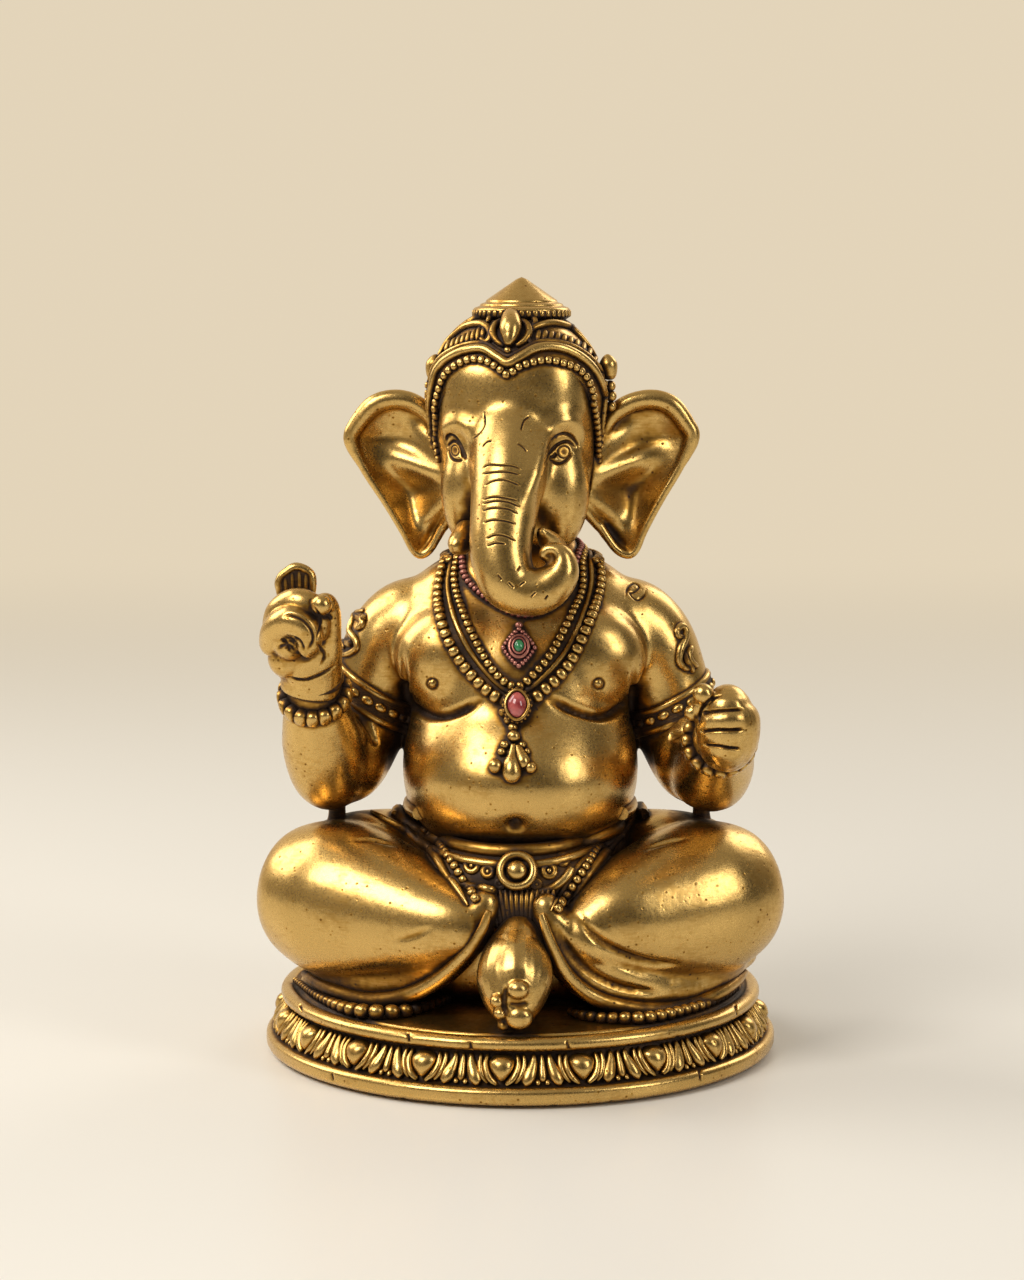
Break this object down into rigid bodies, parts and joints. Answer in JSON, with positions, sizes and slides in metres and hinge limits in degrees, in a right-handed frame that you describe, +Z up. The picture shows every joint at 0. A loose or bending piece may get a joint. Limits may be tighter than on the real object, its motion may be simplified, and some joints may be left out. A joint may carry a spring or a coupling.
{
  "type": "ganesha idol",
  "caption": "Seated elephant-headed figure in antique brass on a round moulded plinth, with crown, bead jewellery, set stones and a felt underside; a table ornament.",
  "frame": {"origin": "middle of the felt underside that the idol rests on", "axes": "+Z up through the crown, -Y the way the figure faces, +X the viewer's right"},
  "size_m": [0.1004, 0.1, 0.15],
  "materials": {
    "antique_brass": "cast, dark patina in the recesses, worn bright on the high points",
    "red_enamel": "worn red enamel over metal",
    "red_stone": "polished red stone or paste",
    "green_stone": "polished green stone or paste",
    "steel": "plain",
    "felt": "pressed felt"
  },
  "bodies": {
    "root": {"base_plinth": "antique_brass", "belt": "antique_brass", "brooch_setting": "red_enamel", "brooch_stone": "green_stone", "buckle_boss": "antique_brass", "buckle_ring": "antique_brass", "choker": "red_enamel", "crown_band": "antique_brass", "crown_cap": "antique_brass", "crown_finial": "antique_brass", "crown_jewel": "antique_brass", "felt_pad": "felt", "foot": "antique_brass", "head": "antique_brass", "hips": "antique_brass", "inner_bead_strand": "antique_brass", "left_armlet": "antique_brass", "left_armlet_crest": "antique_brass", "left_bracelet": "antique_brass", "left_crown_rosette": "antique_brass", "left_ear": "antique_brass", "left_elbow_pin": "antique_brass", "left_forearm": "antique_brass", "left_hand": "antique_brass", "left_hem_beads": "antique_brass", "left_leg": "antique_brass", "left_leg_hem": "antique_brass", "left_sash": "antique_brass", "left_tusk": "antique_brass", "left_upper_arm": "antique_brass", "lotus_bud": "antique_brass", "neck_dowel": "steel", "outer_bead_strand": "antique_brass", "pendant_drops": "antique_brass", "pendant_setting": "antique_brass", "pendant_stone": "red_stone", "petal_band": "antique_brass", "right_armlet": "antique_brass", "right_armlet_crest": "antique_brass", "right_bracelet": "antique_brass", "right_crown_rosette": "antique_brass", "right_ear": "antique_brass", "right_elbow_pin": "antique_brass", "right_forearm": "antique_brass", "right_hand": "antique_brass", "right_hem_beads": "antique_brass", "right_leg": "antique_brass", "right_leg_hem": "antique_brass", "right_sash": "antique_brass", "right_tusk": "antique_brass", "right_upper_arm": "antique_brass", "rod_nut": "steel", "rod_washer": "steel", "smooth_strand": "antique_brass", "tie_rod": "steel", "top_plate": "antique_brass", "torso": "antique_brass", "waist_apron": "antique_brass"}
  },
  "joints": []
}
